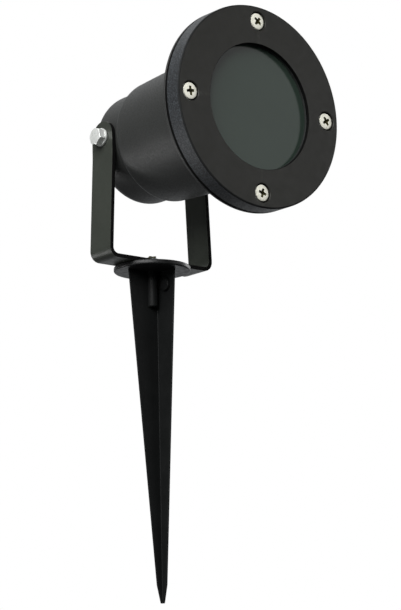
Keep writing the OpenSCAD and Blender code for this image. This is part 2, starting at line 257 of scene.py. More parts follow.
def linear(*colour):
    """A screen colour of 0 to 255 as linear light."""
    return tuple(((c / 255) / 12.92 if c <= 10 else ((c / 255 + 0.055) / 1.055) ** 2.4) for c in colour)


def scaled(colour, k):
    """The colour made k times as light, with its alpha."""
    return tuple(min(1, c * k) for c in colour) + (1.0,)


class Surface:
    """A procedural material in object coordinates, built up in layers."""

    def __init__(self, name, colour, rough, metallic=0.0, specular=0.5):
        self.material = bpy.data.materials.new(name)
        self.material.use_nodes = True
        self.tree = self.material.node_tree
        self.shader = self.tree.nodes["Principled BSDF"]
        self.colour = colour
        self.rough = rough
        self.shader.inputs["Metallic"].default_value = metallic
        self.shader.inputs["Specular IOR Level"].default_value = specular
        self.shader.inputs["Base Color"].default_value = (*colour, 1)
        self.shader.inputs["Roughness"].default_value = rough
        self.coords = self.node("ShaderNodeTexCoord").outputs["Object"]
        self.normal = None

    def node(self, kind, **settings):
        made = self.tree.nodes.new(kind)
        for key, value in settings.items():
            setattr(made, key, value)
        return made

    def link(self, source, target):
        self.tree.links.new(source, target)

    def noise(self, size_mm, detail=2.0, rough=0.5, distortion=0.0, stretch=None):
        """Noise whose features are about size_mm across."""
        made = self.node("ShaderNodeTexNoise")
        made.inputs["Scale"].default_value = 1 / (size_mm * MM)
        made.inputs["Detail"].default_value = detail
        made.inputs["Roughness"].default_value = rough
        made.inputs["Distortion"].default_value = distortion
        if stretch:
            mapping = self.node("ShaderNodeMapping")
            mapping.inputs["Scale"].default_value = stretch
            self.link(self.coords, mapping.inputs["Vector"])
            self.link(mapping.outputs["Vector"], made.inputs["Vector"])
        else:
            self.link(self.coords, made.inputs["Vector"])
        return made.outputs["Fac"]

    def between(self, value, low, high, to_low=0.0, to_high=1.0):
        made = self.node("ShaderNodeMapRange")
        made.clamp = True
        made.inputs["From Min"].default_value = low
        made.inputs["From Max"].default_value = high
        made.inputs["To Min"].default_value = to_low
        made.inputs["To Max"].default_value = to_high
        self.link(value, made.inputs["Value"])
        return made.outputs["Result"]

    def times(self, a, b):
        made = self.node("ShaderNodeMath", operation="MULTIPLY")
        self.link(a, made.inputs[0])
        if isinstance(b, float):
            made.inputs[1].default_value = b
        else:
            self.link(b, made.inputs[1])
        return made.outputs[0]

    def paint(self, factor, colour):
        """Mixes a colour in where factor is 1."""
        target = self.shader.inputs["Base Color"]
        mix = self.node("ShaderNodeMix", data_type="RGBA")
        before = target.links[0].from_socket if target.links else None
        self.link(factor, mix.inputs["Factor"])
        if before:
            self.link(before, mix.inputs["A"])
        else:
            mix.inputs["A"].default_value = (*self.colour, 1)
        mix.inputs["B"].default_value = colour
        self.link(mix.outputs["Result"], target)
        return self

    def mottle(self, size_mm, amount):
        """Slow colour variation."""
        field = self.between(self.noise(size_mm, 3), 0.35, 0.65)
        self.paint(field, scaled(self.colour, 1 + amount))
        return self

    def flecks(self, size_mm, share, k):
        """Small grains, k times as light, over a share of the surface."""
        grains = self.between(self.noise(size_mm, 1), 1 - share - 0.12, 1 - share)
        self.paint(grains, scaled(self.colour, k))
        return self

    def vary_rough(self, size_mm, amount, detail=3):
        """Roughness that changes over the surface by up to amount each way."""
        low, high = self.rough - amount, self.rough + amount
        field = self.between(self.noise(size_mm, detail), 0.3, 0.7, low, high)
        self.link(field, self.shader.inputs["Roughness"])
        return self

    def bump(self, height, depth_mm):
        """Relief of depth_mm from a height field."""
        made = self.node("ShaderNodeBump")
        made.inputs["Distance"].default_value = depth_mm * MM
        made.inputs["Strength"].default_value = 1.0
        self.link(height, made.inputs["Height"])
        if self.normal:
            self.link(self.normal, made.inputs["Normal"])
        self.normal = made.outputs["Normal"]
        self.link(self.normal, self.shader.inputs["Normal"])
        return self

    def worn(self, colour, low=0.53, high=0.6, share=1.0):
        """Edge wear: a lighter colour on convex edges, broken up by noise."""
        edges = self.between(self.node("ShaderNodeNewGeometry").outputs["Pointiness"], low, high)
        broken = self.between(self.noise(2.2, 5), 0.42, 0.62)
        self.paint(self.times(self.times(edges, broken), share), colour)
        return self


def casting_paint(name, colour, rough=0.5, grain=0.42, depth=0.05, glint=1.5):
    """Sandy powder coat on a die casting: fine grains painted lighter, grain tone and a painted glint, slow
    mottling, rubbed edges.
    """
    s = Surface(name, colour, rough, specular=0.5)
    s.mottle(18, 0.18).flecks(grain * 1.3, 0.4, glint).vary_rough(grain * 2, 0.1)
    s.bump(s.noise(grain, 3, 0.6), depth).bump(s.noise(9, 2), 0.02)
    return s.worn(scaled(colour, 2.6), share=0.5).material


def satin_paint(name, colour, rough=0.42, grain=0.5, depth=0.006, wear=2.2):
    """Smooth powder coat with a faint orange-peel surface."""
    s = Surface(name, colour, rough, specular=0.34)
    s.mottle(25, 0.1).vary_rough(3, 0.05)
    s.bump(s.noise(grain, 2), depth).bump(s.noise(3.5, 2), 0.012)
    return s.worn(scaled(colour, wear), share=0.6).material


def moulded_plastic(name, colour, rough=0.46, specular=0.25, depth=0.012):
    """Moulded plastic: faint flow marks, fine texture and scuffs."""
    s = Surface(name, colour, rough, specular=specular)
    s.mottle(14, 0.25).vary_rough(2.5, 0.08)
    s.bump(s.noise(0.6, 3), depth).bump(s.noise(7, 3, 0.6, 0.8), 0.05)
    scuffs = s.between(s.noise(1.2, 6, 0.7, 0.0, (1, 1, 0.12)), 0.62, 0.7)
    s.paint(s.times(scuffs, 0.35), scaled(colour, 2.4))
    return s.worn(scaled(colour, 2.2), share=0.5).material


def plated_steel(name, colour, rough=0.26, brushed=0.008, metallic=1.0, clouding=-0.12):
    """Bright or dull metal: brushed marks, cloudy plating, a few dull spots."""
    s = Surface(name, colour, rough, metallic=metallic)
    s.mottle(2.5, clouding).vary_rough(1.1, 0.09)
    s.bump(s.noise(0.35, 4), brushed).bump(s.noise(1.6, 2), 0.01)
    spots = s.between(s.noise(0.8, 4), 0.66, 0.74)
    return s.paint(s.times(spots, 0.5), scaled(colour, 0.45)).material


def rubber(name, colour, specular=0.35):
    """Dull surface with slow mottling and a little dust."""
    s = Surface(name, colour, 0.72, specular=specular)
    s.mottle(6, 0.3).vary_rough(1.5, 0.08).bump(s.noise(0.4, 3), 0.02)
    dust = s.between(s.noise(1.8, 5), 0.58, 0.75)
    return s.paint(s.times(dust, 0.25), scaled(colour, 3.0)).material


def ceramic(name, colour, rough=0.25):
    """Smooth pale surface, glazed or moulded."""
    s = Surface(name, colour, rough)
    s.mottle(5, -0.06).vary_rough(2, 0.06).bump(s.noise(1.5, 3), 0.02)
    return s.material


def insulation(name, colour, stripe=None):
    """Wire sleeve with a faint weave, and a second colour in bands where stripe is given."""
    s = Surface(name, colour, 0.5)
    s.mottle(3, 0.15).vary_rough(1, 0.08).bump(s.noise(0.25, 2), 0.02)
    if stripe:
        s.paint(s.between(s.noise(2.4, 0), 0.49, 0.51), (*stripe, 1))
    return s.material


def window_glass(name, tint, rough, transmission):
    """Toughened glass: faint surface ripple, dust haze and a dark tint."""
    s = Surface(name, tint, rough, specular=0.36)
    s.shader.inputs["Transmission Weight"].default_value = transmission
    s.shader.inputs["IOR"].default_value = 1.5
    s.mottle(30, 0.08).vary_rough(8, 0.03).bump(s.noise(14, 2), 0.01)
    dust = s.between(s.noise(0.5, 6), 0.63, 0.72)
    return s.paint(s.times(dust, 0.12), scaled(tint, 1.8)).material


BLACK_CASTING = linear(34, 35, 34)
BLACK_FACE = linear(34, 34, 31)
BLACK_STRAP = linear(48, 51, 46)
BLACK_PLASTIC = linear(19, 20, 20)
STAINLESS = linear(252, 251, 236)
ZINC = linear(224, 226, 223)

CASTING = casting_paint("casting_paint", BLACK_CASTING)
# grains painted 4.5 times as light: a painted glint for the wall's sparkle
BEZEL_SIDE = casting_paint("bezel_side_paint", linear(23, 25, 27), 0.5, 0.5, 0.14, 4.5)
BEZEL_FACE = satin_paint("bezel_face_paint", BLACK_FACE)
# dark, dull copy of the face paint on the rounded front edge: painted shade where a highlight would fall
BEZEL_EDGE_SHADE = rubber("bezel_edge_shade", linear(30, 31, 31), 0.1)
# near-black coat on the window lip: painted shade in the recess
LIP_SHADE = rubber("bezel_lip_shade", linear(3, 3, 3), 0.1)
STRAP = satin_paint("strap_paint", BLACK_STRAP, 0.4, 0.4, 0.008)
# near-black coat on the strap's edge faces: painted shade
STRAP_EDGE_SHADE = rubber("strap_edge_shade", linear(6, 6, 6), 0.1)
PLASTIC = moulded_plastic("stake_plastic", BLACK_PLASTIC, 0.5, 0.1)
DISC_PLASTIC = moulded_plastic("stake_disc_plastic", BLACK_PLASTIC, 0.42, 0.35)
NYLON = moulded_plastic("gland_nylon", BLACK_PLASTIC, 0.5)
STAINLESS_STEEL = plated_steel("stainless", STAINLESS, 0.42, 0.004, 0.08, -0.04)
# dark olive in the driver recesses: dirt and painted shade
RECESS_DIRT_AND_SHADE = rubber("recess_dirt_and_shade", linear(58, 55, 28))
ZINC_STEEL = plated_steel("zinc_steel", ZINC, 0.34, 0.006, 0.38)
# zinc steel painted darker: painted shade for the swivel screw and washer under the yoke's base
SHADED_ZINC_STEEL = plated_steel("shaded_zinc_steel", linear(96, 99, 98), 0.4, 0.006, 0.6)
BLACK_RUBBER = rubber("black_rubber", linear(14, 14, 14))
# black rubber made near black: the rubber and a painted shadow in the seam
SEAM_RUBBER_AND_SHADE = rubber("seam_rubber_and_shade", linear(2, 2, 2), 0.1)
GREY_RUBBER = rubber("grey_rubber", linear(22, 25, 24))
TINTED_GLASS = window_glass("tinted_glass", linear(49, 61, 54), 0.16, 0.1)
CLEAR_GLASS = window_glass("clear_glass", linear(225, 235, 232), 0.08, 0.95)
REFLECTOR = plated_steel("reflector", linear(225, 226, 225), 0.16, 0.02)
GLAZED = ceramic("glazed_ceramic", linear(226, 222, 210))
TERMINAL = ceramic("terminal_plastic", linear(222, 222, 214), 0.45)
BRASS = plated_steel("brass", linear(190, 160, 96), 0.3)
LIVE = insulation("live_sleeve", linear(112, 62, 36))
NEUTRAL = insulation("neutral_sleeve", linear(50, 98, 160))
EARTH = insulation("earth_sleeve", linear(86, 150, 50), linear(214, 196, 60))


# ---------------------------------------------------------------- fasteners

def cross_cutter(name, size, depth, place, material):
    """A tapered cross, wide at z = 0 and narrow at z = -depth, to cut a driver recess."""
    bm = bmesh.new()
    wing = size / 2
    half = size * 0.13
    shape = []
    for quarter in range(4):
        turn = math.radians(90 * quarter)
        for x, y in ((wing, -half), (wing, half), (half * 1.25, half * 1.25)):
            shape.append((x * math.cos(turn) - y * math.sin(turn), x * math.sin(turn) + y * math.cos(turn)))
    layers = []
    for z, k in ((0.6, 1.12), (0, 1.0), (-depth * 0.72, 0.62), (-depth, 0.2)):
        layers.append([bm.verts.new((x * k, y * k, z)) for x, y in shape])
    bm.faces.new(layers[0])
    bm.faces.new(layers[-1])
    count = len(shape)
    for above, below in zip(layers, layers[1:]):
        for k in range(count):
            j = (k + 1) % count
            bm.faces.new([above[k], above[j], below[j], below[k]])
    return new_piece(name, bm, place, material)


def screw(name, place, head_r, head_h, shank_r, shank_l, cross, turn, material, dome=0.15):
    """A pan head screw: local +Z points out of the head, z = 0 is under the head."""
    rise = dome + 0.25
    shoulder = head_h - rise
    profile = [(0, -shank_l), (shank_r - 0.3, -shank_l), (shank_r, -shank_l + 0.4), (shank_r, 0)]
    profile += [(head_r - 0.15, 0), (head_r, 0.2), (head_r, shoulder)]
    for degrees in (15, 30, 45, 60, 75):
        a = math.radians(degrees)
        profile.append((head_r * math.cos(a), shoulder + rise * math.sin(a) ** 0.8))
    piece = lathe(name, profile + [(0, head_h)], place, material, 64)
    spin = place @ Matrix.Translation((0, 0, head_h - 0.02)) @ Matrix.Rotation(math.radians(turn), 4, "Z")
    # the driver recess is painted dark olive: dirt and painted shade
    combine(piece, cross_cutter("cross", cross, cross * 0.42, spin, RECESS_DIRT_AND_SHADE))
    shade(piece)
    return piece


def build_bezel_screws():
    """Four stainless screws, each stopped at its own angle."""
    for k, turn in enumerate((32, -14, 8, 51)):
        around = Matrix.Rotation(math.radians(90 * k), 4, "Z")
        out = Matrix.Translation((SCREW_CIRCLE_R, 0, COUNTERBORE_T)) @ Matrix.Rotation(math.pi, 4, "X")
        piece = screw(f"bezel_screw_{k + 1}", LAMP @ around @ out, BEZEL_SCREW_R, head_h=2.9, shank_r=2.0,
                      shank_l=10.6, cross=4.6, turn=turn, material=STAINLESS_STEEL)
        place_on(piece, "head", "stainless_screws", "bezel_screws")


def build_stake_fixing():
    """The swivel's screw and the flat washer under its head, on the yoke's base."""
    low, high = box_mm("stake_washer")
    hole_r = 1.95
    # the washer and the screw take the darker zinc steel: painted shade
    washer = lathe("swivel_washer", [(hole_r, low.z), (high.x - 0.2, low.z), (high.x, low.z + 0.2),
                                     (high.x, high.z - 0.25), (high.x - 0.25, high.z), (hole_r, high.z)],
                   WORLD, SHADED_ZINC_STEEL, 72)
    shade(washer)
    place_on(washer, "stake", "zinc_steel", "stake_washer")
    bottom, top = box_mm("stake_screw")
    seat = Matrix.Translation((0, 0, high.z))
    piece = screw("swivel_screw", WORLD @ seat, top.x, top.z - high.z, shank_r=1.75,
                  shank_l=high.z - bottom.z, cross=4.0, turn=20, material=SHADED_ZINC_STEEL, dome=1.2)
    place_on(piece, "stake", "zinc_steel", "stake_screw")


def hexagon(across, turn=0):
    """Corners of a hexagon with that width across its flats, turned by degrees."""
    angles = [math.radians(60 * k + turn) for k in range(6)]
    return [(across / math.sqrt(3) * math.cos(a), across / math.sqrt(3) * math.sin(a)) for a in angles]


def build_pivot_bolts():
    """Hexagon bolts with split spring washers on both arms."""
    washer_low = PIVOT_X + 0.05
    washer_t = 1.3
    head_h = 3.5
    tip = 20.6
    seat = washer_low + washer_t
    for side, turn in ((-1, 12), (1, 40)):
        place = pivot_side(side)
        bolt = prism("bolt", hexagon(ACROSS_FLATS, turn), seat, seat + head_h, place, ZINC_STEEL)
        crown = lathe("crown", [(0, seat - 1), (5.2, seat - 1), (5.2, seat + head_h - 0.9),
                                (3.7, seat + head_h - 0.02), (0, seat + head_h - 0.02)],
                      place, ZINC_STEEL, 96)
        combine(bolt, crown, "INTERSECT")
        shank = lathe("shank", [(0, tip), (BOLT_R - 0.4, tip), (BOLT_R, tip + 0.5), (BOLT_R, seat + 0.5),
                                (0, seat + 0.5)], place, ZINC_STEEL, 48)
        combine(bolt, shank, "UNION")
        round_edges(bolt, 0.14, 2)
        shade(bolt)
        label = "left" if side < 0 else "right"
        bolt.name = f"pivot_bolt_{label}"
        place_on(bolt, "head", "zinc_steel", "pivot_bolts")
        build_spring_washer(f"spring_washer_{label}", place, washer_low, washer_t)


def build_spring_washer(name, place, low, thickness):
    """One split turn of square wire, its two ends a little out of line."""
    bm = bmesh.new()
    inner, outer, sections = 2.65, 4.55, 56
    gap = math.radians(9)
    rings = []
    for k in range(sections + 1):
        a = gap / 2 + (2 * math.pi - gap) * k / sections
        lift = 0.16 * (k / sections - 0.5)
        low_z, high_z = low + 0.1 + lift, low + thickness - 0.1 + lift
        corners = [(inner, low_z), (outer, low_z), (outer, high_z), (inner, high_z)]
        rings.append([bm.verts.new((r * math.cos(a), r * math.sin(a), z)) for r, z in corners])
    bm.faces.new(rings[0])
    bm.faces.new(rings[-1])
    for ring, after in zip(rings, rings[1:]):
        for k in range(4):
            j = (k + 1) % 4
            bm.faces.new([ring[k], ring[j], after[j], after[k]])
    piece = new_piece(name, bm, place, ZINC_STEEL)
    round_edges(piece, 0.15, 2)
    shade(piece)
    place_on(piece, "head", "zinc_steel", "pivot_spring_washers")


# ---------------------------------------------------------------- bezel, seals and glass

def at_screws():
    """The four places on the bezel's screw circle, in lamp coordinates."""
    for k in range(4):
        yield Matrix.Rotation(math.radians(90 * k), 4, "Z") @ Matrix.Translation((SCREW_CIRCLE_R, 0, 0))


def build_bezel():
    """Turned ring with a rounded face edge, window lip, glass seat and counterbored holes."""
    profile = arc(WINDOW_R + 0.3, 0.3, 0.3, 180, 270, 5)
    profile += arc(BEZEL_R - FACE_ROUND, FACE_ROUND, FACE_ROUND, -90, 0, 8)
    profile += [(BEZEL_R, BEZEL_T - REAR_CHAMFER), (BEZEL_R - REAR_CHAMFER, BEZEL_T)]
    profile += [(SEAL_R + 0.1, BEZEL_T), (SEAL_R + 0.1, LIP_T), (WINDOW_R, LIP_T)]
    bezel = lathe("bezel_ring", profile, LAMP, BEZEL_FACE, 216)
    for place in at_screws():
        outline = [(0, -1), (COUNTERBORE_R + 0.7, -1)]
        outline += arc(COUNTERBORE_R + 0.4, 0.4, 0.4, -90, -180, 4)
        outline += [(COUNTERBORE_R, COUNTERBORE_T), (M4_HOLE_R, COUNTERBORE_T)]
        outline += [(M4_HOLE_R, BEZEL_T + 1), (0, BEZEL_T + 1)]
        combine(bezel, lathe("drill", outline, LAMP @ place, BEZEL_FACE, 64))
    for material in (BEZEL_SIDE, LIP_SHADE, BEZEL_EDGE_SHADE):
        bezel.data.materials.append(material)
    for face in bezel.data.polygons:
        centre = face.center / MM
        radius = math.hypot(centre.x, centre.z - pivot.z)
        if radius > BEZEL_R - 2 and centre.y > FRONT_Y + FACE_ROUND + 0.05:
            face.material_index = 1
        # the rounded front edge takes the painted shade
        elif radius > BEZEL_R - FACE_ROUND - 0.02:
            face.material_index = 3
        # the window lip takes the painted shade
        elif radius < WINDOW_R + 0.25:
            face.material_index = 2
    shade(bezel)
    place_on(bezel, "head", "black_bezel_paint", "bezel")


def build_seals_and_glass():
    """Flat flange gasket, the channel seal round the glass, and the glass."""
    # the gasket's near-black outer ring fills the flange's rebate: the rubber and a painted shadow in the
    # seam
    outline = [(WINDOW_R - 0.6, BEZEL_T), (BEZEL_R - 0.2, BEZEL_T), (BEZEL_R - 0.2, FLANGE_Z + REBATE)]
    outline += [(BEZEL_R - 1.2, FLANGE_Z + REBATE), (BEZEL_R - 1.2, FLANGE_Z), (WINDOW_R - 0.6, FLANGE_Z)]
    gasket = lathe("flange_gasket", outline, LAMP, SEAM_RUBBER_AND_SHADE, 216)
    for place in at_screws():
        combine(gasket, lathe("drill", [(0, 0), (M4_HOLE_R, 0), (M4_HOLE_R, 20), (0, 20)],
                              LAMP @ place, None, 32))
    shade(gasket)
    place_on(gasket, "head", "black_rubber", "body_gasket")

    behind = GLASS_Z + GLASS_T
    outline = arc(WINDOW_R + 0.3, LIP_T + 0.3, 0.3, 180, 270, 4) + [(SEAL_R, LIP_T), (SEAL_R, BEZEL_T)]
    outline += [(WINDOW_R, BEZEL_T), (WINDOW_R, behind), (GLASS_R, behind), (GLASS_R, GLASS_Z)]
    outline += arc(WINDOW_R + 0.3, GLASS_Z - 0.3, 0.3, 90, 180, 4)
    seal = lathe("glass_seal", outline, LAMP, GREY_RUBBER, 216)
    shade(seal)
    place_on(seal, "head", "grey_rubber", "glass_gasket")

    bevel = 0.5
    glass = lathe("window_glass", [(0, GLASS_Z), (GLASS_R - bevel, GLASS_Z), (GLASS_R, GLASS_Z + bevel),
                                   (GLASS_R, behind - bevel), (GLASS_R - bevel, behind), (0, behind)],
                  LAMP, TINTED_GLASS, 216)
    shade(glass)
    place_on(glass, "head", "clear_glass", "front_glass")


# ---------------------------------------------------------------- housing

def housing_outside():
    """Outer outline of the casting as (radius, depth), from the axis at the flange to the rear end."""
    points = [(0, FLANGE_Z), (BEZEL_R - 1.2, FLANGE_Z), (BEZEL_R - 1.2, FLANGE_Z + REBATE)]
    points += arc(BEZEL_R - 0.15, FLANGE_Z + REBATE + 0.15, 0.15, -90, 0, 3)
    points += arc(BEZEL_R - 0.6, FLANGE_Z + FLANGE_T - 0.6, 0.6, 0, 90, 4)
    points += arc(CONE_FRONT_R + 2.6, FLANGE_Z + FLANGE_T + 2.5, 2.5, -90, -180, 8)
    slope = (CONE_FRONT_R - CONE_REAR_R) / (SHOULDER_T - FLANGE_Z - FLANGE_T)
    for step in range(1, 6):
        z = FLANGE_Z + FLANGE_T + 2.5 + step * 9
        points.append((CONE_FRONT_R - slope * (z - FLANGE_Z - FLANGE_T) + 0.1, z))
    points += arc(CONE_REAR_R - SHOULDER_R, SHOULDER_T - 0.2, SHOULDER_R, 0, 72, 10)
    points += arc(REAR_R + 0.75, SHOULDER_T + 3.9, 0.8, -100, -180, 5)
    points += [(REAR_R, SHOULDER_T + 9)]
    points += arc(REAR_R - REAR_ROUND, HEAD_L - 16.5, REAR_ROUND, 0, 52, 12)
    points += arc(16.5, HEAD_L - 2.2, 2.2, 50, 90, 6)
    return points + [(0, HEAD_L)]


def housing_inside():
    """Outline of the cavity, open at the flange."""
    ledge = SHOULDER_T + 2.2
    points = [(0, FLANGE_Z - 1), (CONE_FRONT_R - WALL, FLANGE_Z - 1)]
    points += [(CONE_REAR_R - WALL, ledge - 3), (CONE_REAR_R - WALL, ledge), (REAR_R - WALL, ledge)]
    points += arc(REAR_R - REAR_ROUND - WALL, HEAD_L - 17.5, REAR_ROUND, 0, 52, 8)
    return points + [(16, HEAD_L - END_WALL), (0, HEAD_L - END_WALL)]


def build_housing():
    """Cast body: flange, cone, shoulder, rear section, pivot lugs and screw bosses."""
    body = lathe("lamp_housing", housing_outside(), LAMP, CASTING, 216)
    lug_top = PIVOT_X - STRAP_T - 0.05
    for side in (-1, 1):
        lug = lathe("lug", [(0, 10), (LUG_R, 10)] + arc(LUG_R - 0.4, lug_top - 0.4, 0.4, 0, 90, 4)
                    + [(0, lug_top)], pivot_side(side), CASTING, 72)
        combine(body, lug, "UNION")
    combine(body, lathe("cavity", housing_inside(), LAMP, CASTING, 144))
    boss_top = FLANGE_Z + SCREW_BOSS_H
    for place in at_screws():
        boss = lathe("boss", [(0, FLANGE_Z + 0.5), (SCREW_BOSS_R, FLANGE_Z + 0.5)]
                     + arc(SCREW_BOSS_R - 0.5, boss_top - 0.5, 0.5, 0, 90, 4) + [(0, boss_top)],
                     LAMP @ place, CASTING, 48)
        combine(body, boss, "UNION")
        combine(body, lathe("drill", [(0, 0), (2.02, 0), (2.02, 30), (0, 30)], LAMP @ place, CASTING, 32))
    for side in (-1, 1):
        root = lathe("lug", [(0, 18.5), (LUG_ROOT_R, 18.5), (LUG_ROOT_R, PIVOT_X - 5), (0, PIVOT_X - 5)],
                     pivot_side(side), CASTING, 48)
        combine(body, root, "UNION")
        thread_r = BOLT_R + 0.02
        combine(body, lathe("drill", [(0, 19.8), (thread_r, 19.8), (thread_r, 40), (0, 40)],
                            pivot_side(side), CASTING, 32))
    combine(body, lathe("drill", [(0, HEAD_L - 9), (6.05, HEAD_L - 9), (6.05, HEAD_L + 3), (0, HEAD_L + 3)],
                        LAMP, CASTING, 64))
    shade(body)
    place_on(body, "head", "black_textured_casting", "housing")


# ---------------------------------------------------------------- yoke

def strap_route():
    """Middle line of the strap from the left arm's pivot to the right arm's, as (x, z) points."""
    base_z = yoke_low.z
    centre_x, centre_z = YOKE_HALF_W - BEND_R, base_z + BEND_R
    kink_z = pivot.z - KINK_BELOW_PIVOT
    lean = math.degrees(math.atan(ARM_LEAN / (kink_z - centre_z)))
    half = [(PIVOT_X - STRAP_T / 2, pivot.z), (PIVOT_X - STRAP_T / 2, kink_z + 2)]
    half += arc(centre_x, centre_z, BEND_R - STRAP_T / 2, lean, -90, 14)
    left = [(-x, z) for x, z in half]
    return left + half[::-1]


def along(route, distance):
    """Point and inward normal on the route, distance mm from its start."""
    left = distance
    for (x0, z0), (x1, z1) in zip(route, route[1:]):
        length = math.hypot(x1 - x0, z1 - z0)
        if left <= length or (x1, z1) == route[-1]:
            t = left / length
            tangent = ((x1 - x0) / length, (z1 - z0) / length)
            return (x0 + (x1 - x0) * t, z0 + (z1 - z0) * t), (-tangent[1], tangent[0])
        left -= length


def build_yoke():
    """The strap as a flat pattern with round drilled ends, bent along its route."""
    route = strap_route()
    total = sum(math.dist(a, b) for a, b in zip(route, route[1:]))
    half_w = STRAP_W / 2
    cells = 12
    columns = [half_w * math.tan(math.radians(-45 + 90 * k / cells)) for k in range(cells + 1)]
    faces = []

    def end_ring(centre_s, inward):
        """Faces round a pivot hole: a round outer end and a square inner end."""
        steps = 4 * cells
        rim, eye = [], []
        for k in range(steps):
            a = math.radians(-45 + 360 * k / steps)
            ca, sa = math.cos(a), math.sin(a)
            if ca > -1e-9:
                reach = half_w / max(abs(ca), abs(sa))
            else:
                reach = half_w
            rim.append((centre_s + inward * reach * ca, reach * sa))
            eye.append((centre_s + inward * PIVOT_HOLE_R * ca, PIVOT_HOLE_R * sa))
        rings = []
        for t in (0, 0.3, 0.65, 1):
            rings.append([(e[0] + (r[0] - e[0]) * t, e[1] + (r[1] - e[1]) * t) for e, r in zip(eye, rim)])
        for inner, outer in zip(rings, rings[1:]):
            for k in range(steps):
                j = (k + 1) % steps
                faces.append([inner[k], inner[j], outer[j], outer[k]])

    end_ring(0, 1)
    end_ring(total, -1)
    rows = [half_w + (total - 2 * half_w) * k / 120 for k in range(121)]
    for s0, s1 in zip(rows, rows[1:]):
        for w0, w1 in zip(columns, columns[1:]):
            faces.append([(s0, w0), (s0, w1), (s1, w1), (s1, w0)])

    def bent(s, w, depth):
        if s < 0 or s > total:
            over = -s if s < 0 else s - total
            (x, z), normal = along(route, 0 if s < 0 else total)
            return (x + normal[0] * depth, w, z + over)
        (x, z), normal = along(route, s)
        return (x + normal[0] * depth, w, z + normal[1] * depth)

    bm = bmesh.new()
    made = {}

    def vertex(s, w, depth):
        key = (round(s, 4), round(w, 4), depth)
        if key not in made:
            made[key] = bm.verts.new(bent(s, w, depth))
        return made[key]

    edges = {}
    for face in faces:
        bm.faces.new([vertex(s, w, STRAP_T / 2) for s, w in face])
        bm.faces.new([vertex(s, w, -STRAP_T / 2) for s, w in reversed(face)])
        for k in range(4):
            a, b = [(round(s, 4), round(w, 4)) for s, w in (face[k], face[(k + 1) % 4])]
            edges[frozenset((a, b))] = None if frozenset((a, b)) in edges else (a, b)
    for pair in edges.values():
        if pair:
            (s0, w0), (s1, w1) = pair
            bm.faces.new([vertex(s0, w0, STRAP_T / 2), vertex(s1, w1, STRAP_T / 2),
                          vertex(s1, w1, -STRAP_T / 2), vertex(s0, w0, -STRAP_T / 2)])
    yoke = new_piece("yoke_strap", bm, WORLD, STRAP)
    combine(yoke, lathe("drill", [(0, 0), (1.82, 0), (1.82, 12), (0, 12)], WORLD, STRAP, 32))
    round_edges(yoke, 0.32, 3, 50)
    # the edge faces that face front and back take the painted shade
    yoke.data.materials.append(STRAP_EDGE_SHADE)
    for face in yoke.data.polygons:
        if abs(face.normal.y) > 0.6:
            face.material_index = 1
    shade(yoke)
    place_on(yoke, "yoke", "black_powder_coat_steel", "yoke")


# ---------------------------------------------------------------- ground stake

def blade_section(z):
    """The blade's L outline at a height z (0 at the disc), rounded at its ends and inner corner."""
    depth = -z
    taper = min(1, depth / (BLADE_L - POINT_L))
    long_leg = LONG_LEG + (POINT_LEG - LONG_LEG) * taper
    short_leg = SHORT_LEG + (POINT_LEG - SHORT_LEG) * taper
    thick = BLADE_T - THINNING * taper
    if depth > BLADE_L - POINT_L:
        close = 1 - (depth - (BLADE_L - POINT_L)) / POINT_L
        long_leg = short_leg = TIP_LEG + (POINT_LEG - TIP_LEG) * close
        thick = TIP_T + (BLADE_T - THINNING - TIP_T) * close
    edge = min(EDGE_T, thick)
    r = edge * 0.42
    fillet = min(0.4, long_leg * 0.3, short_leg * 0.3)
    points = arc(-long_leg + r, edge - r, r, 90, 180, 4)
    points += arc(-long_leg + r, r, r, 180, 270, 4)
    points += arc(-fillet, -fillet, fillet, 90, 0, 4)
    points += arc(r, -short_leg + r, r, 180, 270, 4)
    points += arc(edge - r, -short_leg + r, r, 270, 360, 4)
    points += arc(thick - r, thick - r, r, 0, 90, 4)
    return [(CORNER.x + x, CORNER.y + y, z) for x, y in points]


def build_stake():
    """Disc, tapered angle-section blade, screw boss and button as one moulding."""
    r = 0.8
    outline = [(0, 0)] + arc(DISC_R - r, r, r, -90, 0, 8) + arc(DISC_R - r, DISC_T - r, r, 0, 90, 8)
    stake = lathe("stake_moulding", outline + [(0, DISC_T)], WORLD, PLASTIC, 144)
    bm = bmesh.new()
    heights = [1.2, 0] + [-BLADE_L * k / 30 for k in range(1, 29)]
    heights += [-BLADE_L + above for above in (POINT_L, 6.5, 4, 2, 0.8, 0.2)]
    heights = sorted(set(heights), reverse=True)
    layers = [[bm.verts.new(p) for p in blade_section(z)] for z in heights]
    bm.faces.new(layers[0])
    bm.faces.new(layers[-1])
    for above, below in zip(layers, layers[1:]):
        for k in range(len(above)):
            j = (k + 1) % len(above)
            bm.faces.new([above[k], above[j], below[j], below[k]])
    combine(stake, new_piece("blade", bm, WORLD, PLASTIC), "UNION")
    boss = lathe("boss", [(0, 1), (BOSS_R, 1), (BOSS_R, -BOSS_L + 0.9)]
                 + arc(BOSS_R - 0.9, -BOSS_L + 0.9, 0.9, 0, -90, 5)[1:] + [(0, -BOSS_L)],
                 WORLD, PLASTIC, 48)
    combine(stake, boss, "UNION")
    hole_r = 1.77
    hole_end = -BOSS_L + BOSS_FLOOR
    combine(stake, lathe("drill", [(0, hole_end), (hole_r, hole_end), (hole_r, 9), (0, 9)],
                         WORLD, PLASTIC, 32))
    on_leg = WORLD @ Matrix.Translation((CORNER.x, -7, -7.4)) @ Matrix.Rotation(math.radians(-90), 4, "Y")
    button = lathe("button", [(0, -1), (3, -1)] + arc(2.5, 1.1, 0.5, 0, 90, 5) + [(0, 1.6)],
                   on_leg, PLASTIC, 48)
    combine(stake, button, "UNION")
    stake.data.materials.append(DISC_PLASTIC)
    for face in stake.data.polygons:
        if face.center.z > -0.02 * MM:     # the disc and all above it
            face.material_index = 1
    shade(stake)
    place_on(stake, "stake", "stake_plastic", "ground_stake")


# ---------------------------------------------------------------- cable gland

